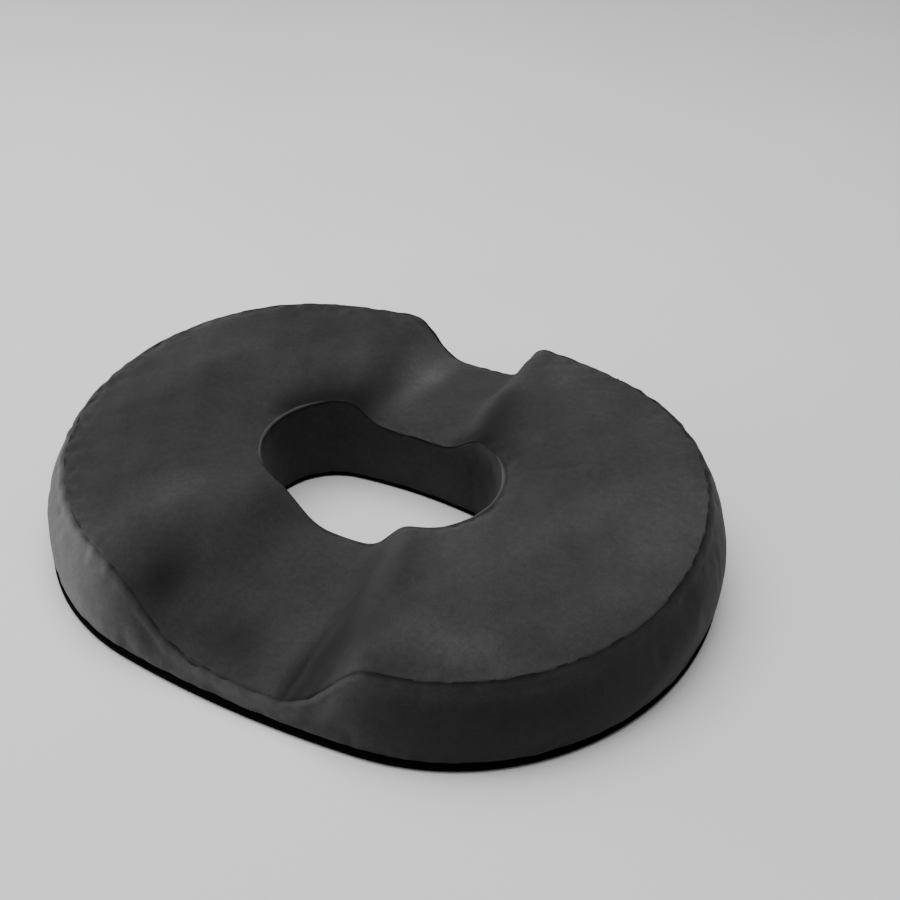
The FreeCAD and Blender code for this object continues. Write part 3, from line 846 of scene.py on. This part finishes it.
def make_top():
    """The top panel of the cover."""
    s, v = grid(ring_places(), close_to_ends(TOP_ROWS))
    points = moved(top_points(s, v), "top", s, v)
    length = np.linalg.norm(seam_line(s)[0] - rim_line(s)[0], axis=-1)
    points = soften(points, np.minimum(v, 1 - v) * length, seed=11)
    piece = sheet_object("cover_top", points, True, painted_shading=top_painted_shading(points, v * length, (1 - v) * length))
    finish_piece(piece, VELOUR, "velour", "cover_top_panel")


def make_side():
    """The side band, round the front and both sides."""
    s, v = grid(side_places(), close_to_ends(SIDE_ROWS))
    points = moved(side_points(s, v), "side", s, v)
    height = seam_line(s)[1] - BAND_LOW
    points = soften(points, np.minimum(v, 1 - v) * height, seed=21)
    piece = sheet_object("cover_side", points, False, painted_shading=band_painted_shading(s, points[..., 2]))
    finish_piece(piece, VELOUR, "velour", "cover_side_band")


def make_rear_strip(name, low, high, node, seed):
    """A strip of the rear band between two heights; None as high is the top seam."""
    s, t = grid(rear_places(), close_to_ends(STRIP_ROWS))
    seam_z = seam_line(s)[1]
    top_z = seam_z if high is None else np.full_like(seam_z, high)
    z = top_z + (low - top_z) * t
    v = (seam_z - z) / (seam_z - BAND_LOW)
    points = moved(side_points(s, v), "side", s, v)
    points = soften(points, np.minimum(z - low, top_z - z), seed)
    piece = sheet_object(name, points, False, painted_shading=band_painted_shading(s, points[..., 2]))
    finish_piece(piece, VELOUR, "velour", node)


def make_end_tabs():
    """Squares of the band's cloth that cover the tapes' ends, out to the upright seams."""
    for sign, name in ((-1, "left"), (1, "right")):
        ends = sorted(sign * (REAR_END - inward) for inward in TAB_ENDS)
        s, t = grid(np.linspace(*ends, 10), np.linspace(0, 1, 12))
        z = ZIP_HIGH + TAB_LAP - (ZIP_HIGH - ZIP_LOW + 2 * TAB_LAP) * t
        xy, _out = OUTER.at(s, wall_inset(s, z, seam_line(s)[1]) + TAB_BEHIND)
        piece = sheet_object(f"zip_end_tab_{name}", with_z(xy, z), False, TAB_SHEET, band_painted_shading(s, z))
        finish_piece(piece, VELOUR, "velour")


def make_hole_wall():
    """The band of cloth inside the hole."""
    s, v = grid(ring_places(), close_to_ends(HOLE_ROWS))
    points = moved(hole_points(s, v), "hole", s, v)
    height = rim_line(s)[1] - HOLE_WALL_LOW
    points = soften(points, np.minimum(v, 1 - v) * height, seed=31)
    # painted shade on the hole's wall
    piece = sheet_object("cover_hole_wall", points, True, painted_shading=HOLE_PAINTED_SHADE)
    finish_piece(piece, VELOUR, "velour", "cover_hole_band", "hole_band_seam")


def make_base():
    """The flat cloth underneath."""
    s, v = grid(ring_places(), np.linspace(0, 1, BASE_ROWS))
    piece = sheet_object("base_panel", base_points(s, v), True)
    finish_piece(piece, BASE_CLOTH, "base_cloth", "cover_base_panel")


def make_foam():
    """The foam, a little smaller than the cover, so that it never shows through."""
    s = np.linspace(0, OUTER.length, FOAM_COLUMNS, endpoint=False)
    parts = []
    for shape, rows in ((hole_points, 6), (top_points, 18), (side_points, 8), (base_points, 8)):
        parts.append(shape(*grid(s, np.linspace(0, 1, rows + 1)))[:, :-1])
    points = np.concatenate(parts, axis=1)
    wrapped = np.concatenate([points[-1:], points, points[:1]], axis=0)
    wrapped = np.concatenate([wrapped[:, -1:], wrapped, wrapped[:, :1]], axis=1)
    inset = FOAM_INSET + FOAM_ZIP_INSET * by_zip(s[:, None], points[..., 2]) * fade(points[..., 1], 0, 10)
    points = points - grid_normals(wrapped)[1:-1, 1:-1] * inset[..., None]
    columns, rows = points.shape[:2]
    piece = new_object("foam", points.reshape(-1, 3), grid_faces(columns, rows, True, True))
    piece.data.shade_smooth()
    finish_piece(piece, foam_skin(), "foam", "foam_core")


# ---- seams ---------------------------------------------------------------------------------------

def bead_faces(rings, sides, closed=False, first=0):
    """Faces of a bead of rings with so many sides each, from point number first. An open one has caps."""
    faces = []
    for i in range(rings if closed else rings - 1):
        a, b = first + i * sides, first + (i + 1) % rings * sides
        faces += [(a + j, b + j, b + (j + 1) % sides, a + (j + 1) % sides) for j in range(sides)]
    if not closed:
        faces.append(tuple(first + j for j in range(sides)))
        faces.append(tuple(first + (rings - 1) * sides + j for j in reversed(range(sides))))
    return faces


def tube(name, centre, normal, radius, sides=8, closed=True):
    """Round bead along a line of points; radius may be one number or one for each point."""
    count = len(centre)
    along = np.roll(centre, -1, axis=0) - np.roll(centre, 1, axis=0)
    if not closed:
        along[0], along[-1] = centre[1] - centre[0], centre[-1] - centre[-2]
    along /= np.linalg.norm(along, axis=-1, keepdims=True)
    side = np.cross(along, normal)
    side /= np.linalg.norm(side, axis=-1, keepdims=True)
    up = np.cross(side, along)
    angle = np.linspace(0, 2 * np.pi, sides, endpoint=False)
    around = np.cos(angle)[None, :, None] * side[:, None] + np.sin(angle)[None, :, None] * up[:, None]
    radius = np.broadcast_to(radius, (count,))[:, None, None]
    points = centre[:, None] + around * radius
    piece = new_object(name, points.reshape(-1, 3), bead_faces(count, sides, closed))
    piece.data.shade_smooth()
    return piece


def stitches(name, line, normals, slant=0.0):
    """Separate stitches, each a short bead that dips into the cloth at both ends."""
    step = np.linalg.norm(np.diff(line, axis=0), axis=-1)
    place = np.concatenate([[0.0], np.cumsum(step)])
    count = int(place[-1] / STITCH_PITCH)
    verts, faces = [], []
    sides, rings = 6, 5
    bend = np.linspace(-1, 1, rings)
    profile = np.sqrt(np.clip(1 - bend**4, 0.06, 1))
    for k in range(count):
        at = (k + 0.5) * place[-1] / count
        centre = np.array([np.interp(at, place, line[:, i]) for i in range(3)])
        ahead = np.array([np.interp(at + 1, place, line[:, i]) for i in range(3)])
        normal = np.array([np.interp(at, place, normals[:, i]) for i in range(3)])
        normal /= np.linalg.norm(normal)
        along = ahead - centre
        along /= max(np.linalg.norm(along), 1e-9)
        side = np.cross(along, normal)
        run = along * math.cos(slant) + side * math.sin(slant)
        side = np.cross(run, normal)
        first = len(verts)
        for t, wide in zip(bend, profile):
            middle = centre + run * t * STITCH_LENGTH / 2 + normal * (0.15 - 0.35 * t * t)
            for j in range(sides):
                turn = 2 * math.pi * j / sides
                around = side * math.cos(turn) + normal * math.sin(turn)
                verts.append(middle + around * THREAD_R * wide)
        faces += bead_faces(rings, sides, first=first)
    piece = new_object(name, verts, faces)
    piece.data.shade_smooth()
    return piece


def make_top_seam():
    """The bead of folded cloth in the crease, and the stitches that show across it."""
    s = ring_places()
    xy, z = seam_line(s)
    _xy, out = OUTER.at(s)
    line = with_z(xy - out * TOP_BEAD_IN, z - TOP_BEAD_DOWN)
    normal = with_z(out * 0.62, np.full(len(s), 0.78))
    bead = tube("top_seam_fold", line, normal, TOP_BEAD_R + 0.06 * waves(line, 16, seed=41))
    # painted shade on the bead in the crease
    set_painted_shading(bead, TOP_BEAD_PAINTED_SHADE)
    finish_piece(bead, VELOUR, "velour", "top_edge_seam")
    thread = stitches("top_seam_stitches", line + normal * 0.7, normal, slant=0.5)
    finish_piece(thread, THREAD, "velour")


RIM_SIDES = 8


def make_rim_seam():
    """The folded edge round the hole, which stands proud at the hole's two ends."""
    s = ring_places()
    xy, z = rim_line(s)
    _xy, out = HOLE.at(hole_place(s))
    proud = fade(np.abs(xy[:, 0]), 70, 3)
    line = with_z(xy + out * (0.5 - 0.7 * proud)[:, None], z - 0.7 + 0.4 * proud)
    normal = with_z(-out * 0.6, np.full(len(s), 0.8))
    radius = 0.6 + 0.5 * proud + 0.08 * waves(line, 14, seed=43)
    bead = tube("rim_seam_fold", line, normal, radius, sides=RIM_SIDES)
    # painted shade along the rim's fold, and a painted highlight where it stands proud at the hole's two
    # ends
    set_painted_shading(bead, np.repeat(0.3 + 1.3 * proud, RIM_SIDES))
    finish_piece(bead, VELOUR, "velour", "hole_rim_seam")


def make_band_seams():
    """Upright seams where the side band meets the rear band."""
    for sign, name in ((-1, "left"), (1, "right")):
        s = np.full(40, sign * REAR_END)
        v = np.linspace(0.03, 1, 40)
        _xy, out = OUTER.at(s)
        line = side_points(s, v)
        normal = with_z(out * 0.97, np.full(40, SIDE_LEAN))
        bead = tube(f"band_seam_fold_{name}", line - normal * 0.5, normal, 0.9, closed=False)
        # the fold is painted darker than the band
        set_painted_shading(bead, BAND_SEAM_DARKENING)
        finish_piece(bead, VELOUR, "velour", f"band_seam_{name}")


# Sections of the two bindings, as distances inward and heights
# The outer binding rises to 7.4 mm up the band: a real black binding that also stands in for painted
# contact shadow under the cushion's edge.
OUTER_ROLL = ((1.0, 7.4), (-0.9, 6.8), (-1.4, 5.0), (-1.2, 2.8), (-0.4, 1.2), (0.9, 0.8), (3.0, 0.7))
HOLE_ROLL = ((0.4, 2.8), (-0.5, 2.4), (-0.6, 1.6), (-0.2, 1.1), (0.8, 0.8), (3.0, 0.7))


def rolled_edge(name, section, edge_at, node):
    """Black binding that rolls under the base's edge; its section is in distances inward and heights."""
    s = ring_places()
    columns = []
    for inset, height in section:
        columns.append(with_z(edge_at(s, inset, height), np.full(len(s), height)))
    points = np.stack(columns, axis=1)
    piece = sheet_object(name, points, True, BINDING_SHEET)
    finish_piece(piece, BINDING, "base_cloth", node)


def make_bindings():
    """The black bindings round the base and round the hole's foot."""
    def outer_edge(s, inset, z):
        return OUTER.at(s, inset + wall_inset(s, z, seam_line(s)[1]))[0]

    def hole_edge(s, inset, _z):
        return HOLE.at(hole_place(s), -inset)[0]

    rolled_edge("base_binding", OUTER_ROLL, outer_edge, "base_edge_binding")
    rolled_edge("hole_binding", HOLE_ROLL, hole_edge, "hole_base_binding")


# ---- zip -----------------------------------------------------------------------------------------

def dress_cad_nodes():
    """Materials of the CAD nodes that stay in sight."""
    finishes = {
        "base_grip_dots": moulded("grip_rubber", (0.015, 0.015, 0.016), 0.55),
        "zip_tape_upper": ZIP_TAPE,
        "zip_tape_lower": ZIP_TAPE,
    }
    teeth = moulded("zip_teeth", (0.018, 0.018, 0.02), 0.35)
    metal = enamelled_metal()
    for name in ("zip_teeth_upper", "zip_teeth_lower"):
        finishes[name] = teeth
    for name in ("zip_top_stop", "zip_bottom_stop",
                 "zip_slider_body", "zip_slider_back_plate", "zip_pull_tab"):
        finishes[name] = metal
    for name, made in finishes.items():
        for slot in NODES[name].material_slots:
            slot.material = made


def make_zip_stitches():
    """Topstitching that holds the tapes behind the strips' edges."""
    for name, z_mm in (("lower", ZIP_LOW - 2.5), ("upper", ZIP_HIGH + 2.5)):
        s = np.linspace(-REAR_END + 2, REAR_END - 2, 120)
        seam_z = seam_line(s)[1]
        v = (seam_z - z_mm) / (seam_z - BAND_LOW)
        _xy, out = OUTER.at(s)
        normal = with_z(out * 0.97, np.full(len(s), SIDE_LEAN))
        line = moved(side_points(s, v), "side", s, v) + normal * 0.1
        piece = stitches(f"zip_stitches_{name}", line, normal)
        finish_piece(piece, THREAD, "velour")


# ---- stage ---------------------------------------------------------------------------------------

# The camera stands in front and to the right, and looks down. Angles are in degrees, its target and
# distance in metres, and its lens in millimetres.
CAMERA_AZIMUTH = 26.035
CAMERA_ELEVATION = 36.313
CAMERA_ROLL = 1.046
CAMERA_TARGET = (-0.0008, 0.1064, 0.0)
CAMERA_DISTANCE = 0.8356
CAMERA_LENS = 44.15

FLOOR_HALF = 4000          # half the floor's side, in millimetres
WORLD_STRENGTH = 0.22

# Lights: name, place, target, size and watts, with lengths in metres
LIGHTS = (
    ("overhead", (-0.35, 0.1, 2.0), (0, 0, 0.03), (2.2, 2.2), 62),
    ("low_left", (-1.9, -0.6, 0.16), (-0.1, 0, 0.06), (1.4, 0.2), 48),
)


def make_camera():
    """The camera of the main view."""
    azimuth, elevation, roll = (math.radians(a) for a in (CAMERA_AZIMUTH, CAMERA_ELEVATION, CAMERA_ROLL))
    back = Vector((math.sin(azimuth) * math.cos(elevation), -math.cos(azimuth) * math.cos(elevation),
                   math.sin(elevation)))
    right = Vector((math.cos(azimuth), math.sin(azimuth), 0))
    up = back.cross(right)
    turned = math.cos(roll) * right + math.sin(roll) * up
    upright = math.cos(roll) * up - math.sin(roll) * right
    camera = bpy.data.objects.new("camera", bpy.data.cameras.new("camera"))
    camera.data.lens = CAMERA_LENS
    camera.data.sensor_width = 36.0
    camera.data.clip_start = 0.01
    turn = Matrix((turned, upright, back)).transposed().to_4x4()
    camera.matrix_world = Matrix.Translation(Vector(CAMERA_TARGET) + back * CAMERA_DISTANCE) @ turn
    bpy.context.scene.collection.objects.link(camera)
    bpy.context.scene.camera = camera


def area_light(name, place, target, size, watts):
    """Rectangular light that faces its target."""
    light = bpy.data.objects.new(name, bpy.data.lights.new(name, "AREA"))
    light.data.shape = "RECTANGLE"
    light.data.size, light.data.size_y = size
    light.data.energy = watts
    light.location = place
    light.rotation_euler = (Vector(target) - Vector(place)).to_track_quat("-Z", "Y").to_euler()
    light.visible_camera = False
    bpy.context.scene.collection.objects.link(light)


def make_stage():
    """Pale floor, even surroundings and the lights."""
    corners = [(x * FLOOR_HALF, y * FLOOR_HALF, 0) for x, y in ((-1, -1), (1, -1), (1, 1), (-1, 1))]
    floor = new_object("floor", corners, [(0, 1, 2, 3)])
    made, nodes, links, shader = material("floor", (0.8, 0.8, 0.8), 0.8)
    place = nodes.new("ShaderNodeTexCoord").outputs["Object"]
    cloudy = noise_node(nodes, links, place, 3, 2)
    colour = ramp_node(nodes, links, cloudy, 0.3, 0.7, (0.78,) * 3, (0.82,) * 3)
    links.new(colour, shader.inputs["Base Color"])
    floor.data.materials.append(made)
    world = bpy.data.worlds.new("studio")
    world.use_nodes = True
    world.node_tree.nodes["Background"].inputs["Color"].default_value = (1, 1, 1, 1)
    world.node_tree.nodes["Background"].inputs["Strength"].default_value = WORLD_STRENGTH
    bpy.context.scene.world = world
    for light in LIGHTS:
        area_light(*light)


make_camera()
make_stage()
make_foam()
make_top()
make_side()
make_rear_strip("cover_rear_upper", ZIP_HIGH, None, "cover_rear_strip_upper", 51)
make_rear_strip("cover_rear_lower", BAND_LOW, ZIP_LOW, "cover_rear_strip_lower", 55)
make_end_tabs()
make_hole_wall()
make_base()
make_top_seam()
make_rim_seam()
make_band_seams()
make_bindings()
make_zip_stitches()
dress_cad_nodes()
